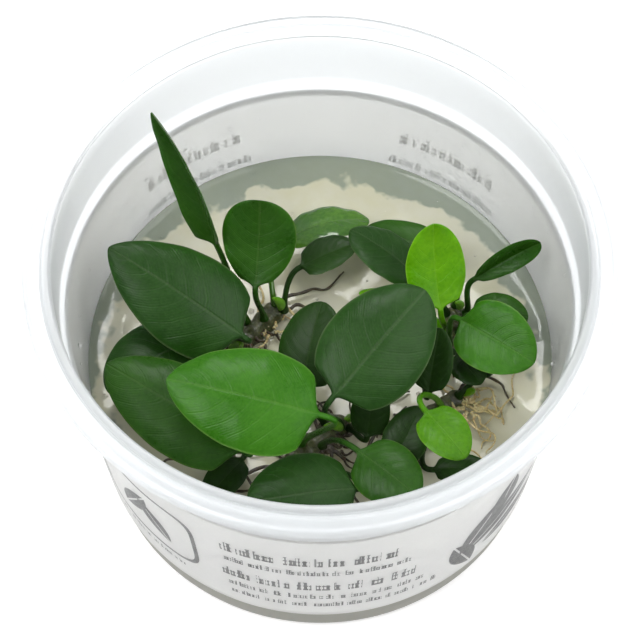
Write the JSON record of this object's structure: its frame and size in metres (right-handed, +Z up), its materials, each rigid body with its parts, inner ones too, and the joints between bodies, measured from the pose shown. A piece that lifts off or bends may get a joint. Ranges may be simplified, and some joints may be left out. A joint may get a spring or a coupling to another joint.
{
  "type": "aquarium plant in a culture cup",
  "caption": "Dwarf broad-leaf aquarium plantlets with creeping rhizomes on nutrient gel in an open translucent culture cup with a plain printed film band.",
  "frame": {"origin": "centre of the cup's underside, on the surface it stands on", "axes": "+Z up along the cup's axis, +X to the right when the printed marks face the viewer, +Y away from the viewer"},
  "size_m": [0.1, 0.1, 0.0696],
  "materials": {
    "cup_plastic": "translucent milky polypropylene",
    "label_film": "thin printed film",
    "gel": "clear wet nutrient gel",
    "leaf": "waxy green leaf",
    "rhizome": "smooth green stem",
    "root": "fine pale root"
  },
  "bodies": {
    "root": {"cup": "cup_plastic", "gel": "gel", "label_band": "label_film", "leaf_back_centre": "leaf", "leaf_back_right": "leaf", "leaf_back_small": "leaf", "leaf_back_upright": "leaf", "leaf_back_wet": "leaf", "leaf_centre_dark": "leaf", "leaf_centre_inner": "leaf", "leaf_centre_right": "leaf", "leaf_centre_shaded": "leaf", "leaf_centre_tip": "leaf", "leaf_front_bright": "leaf", "leaf_front_edge": "leaf", "leaf_front_low": "leaf", "leaf_front_right": "leaf", "leaf_front_shaded": "leaf", "leaf_left_back": "leaf", "leaf_left_broad": "leaf", "leaf_left_edge": "leaf", "leaf_left_front": "leaf", "leaf_left_low": "leaf", "leaf_right_behind": "leaf", "leaf_right_broad": "leaf", "leaf_right_curled": "leaf", "leaf_right_inner": "leaf", "leaf_right_small": "leaf", "leaf_right_upright": "leaf", "leaf_small_lime": "leaf", "leaf_tall_rolled": "leaf", "rhizome_back_left": "rhizome", "rhizome_front": "rhizome", "rhizome_left_front": "rhizome", "rhizome_right": "rhizome", "rhizome_right_front": "rhizome", "root_back_a": "root", "root_back_b": "root", "root_front_a": "root", "root_front_b": "root", "root_left_a": "root", "root_right_a": "root", "root_right_b": "root", "root_right_c": "root"}
  },
  "joints": []
}
